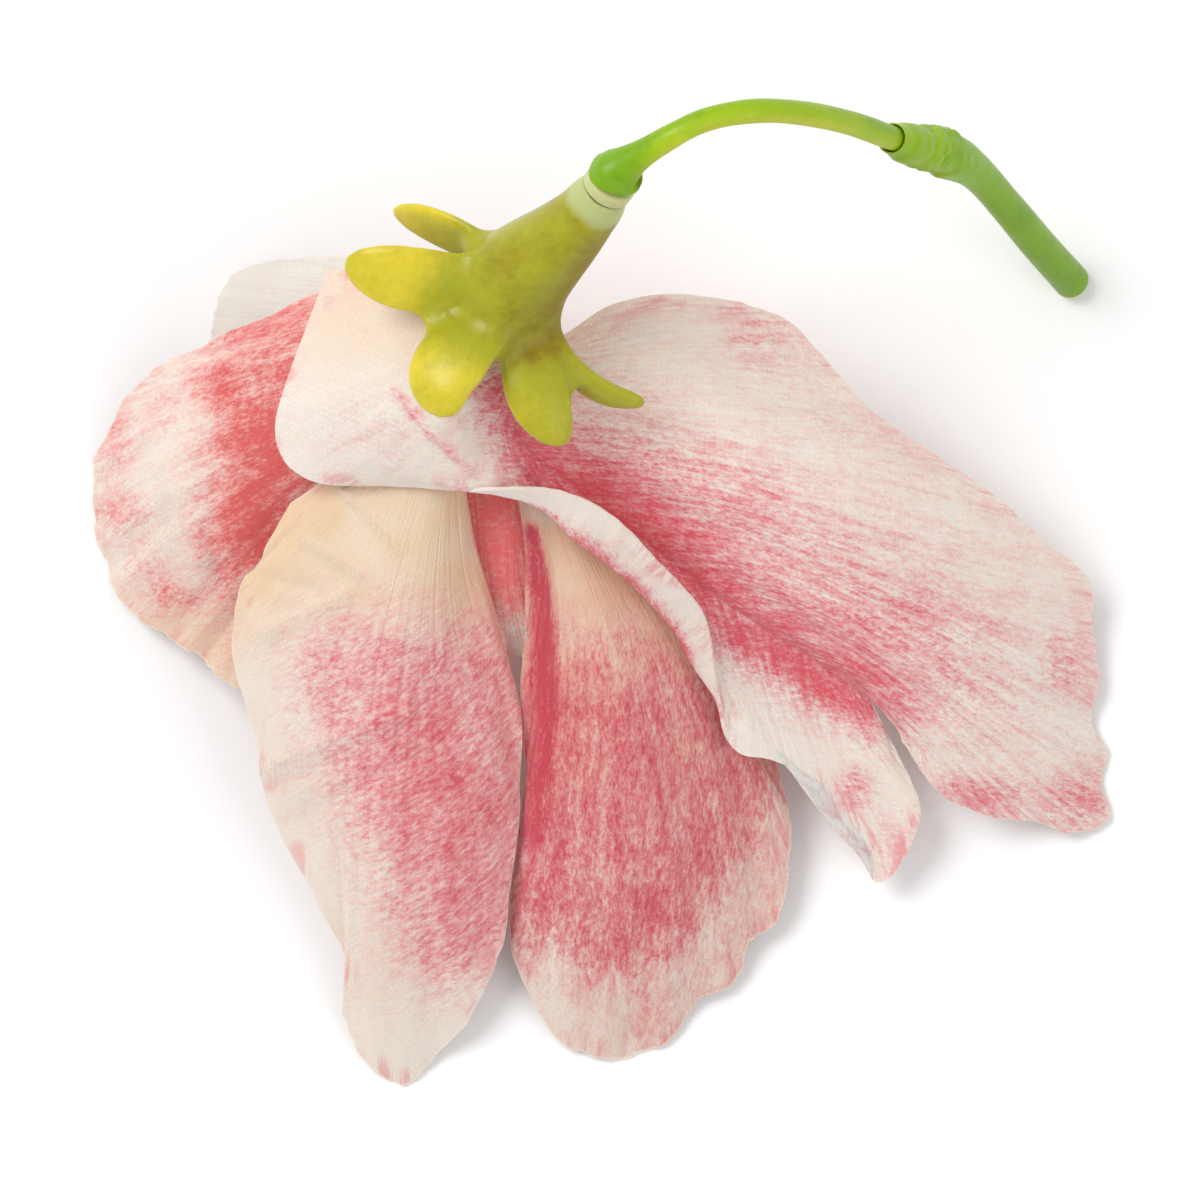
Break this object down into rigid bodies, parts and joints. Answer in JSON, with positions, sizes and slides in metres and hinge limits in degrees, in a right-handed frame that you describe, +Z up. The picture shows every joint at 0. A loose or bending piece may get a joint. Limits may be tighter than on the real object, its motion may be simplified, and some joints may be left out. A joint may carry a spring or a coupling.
{
  "type": "artificial sweet pea flower",
  "caption": "Artificial sweet pea blossom lying face down: ruffled fabric petals on a moulded calyx, with an arched pedicel and a stub of its branch.",
  "frame": {"origin": "bottom centre of the flower's box, on the surface that it lies on", "axes": "+Z up from that surface and out of the back of the blossom; +Y from the petal tips towards the pedicel; +X towards the banner petal's large lobe and the branch stub"},
  "size_m": [0.0782, 0.0748, 0.0452],
  "materials": {
    "banner_fabric": "woven polyester printed pink over cream, matt with a slight sheen",
    "wing_fabric": "woven polyester printed coral pink over cream, matt with a slight sheen",
    "cream_fabric": "woven polyester, cream, matt with a slight sheen",
    "petal_fabric": "woven polyester printed pink over cream, matt with a slight sheen",
    "calyx_plastic": "soft moulded plastic, yellow olive, satin",
    "peg_plastic": "translucent pale green moulded plastic",
    "pedicel_plastic": "plastic coated stalk, light green, satin",
    "stub_plastic": "plastic coated stalk, mid green, satin"
  },
  "bodies": {
    "root": {"banner_petal": "banner_fabric", "left_wing_petal": "wing_fabric", "back_petal": "cream_fabric", "lower_left_petal": "petal_fabric", "lower_right_petal": "petal_fabric", "keel_petal": "petal_fabric", "calyx": "calyx_plastic", "peg": "peg_plastic", "pedicel": "pedicel_plastic", "branch_stub": "stub_plastic"}
  },
  "joints": []
}
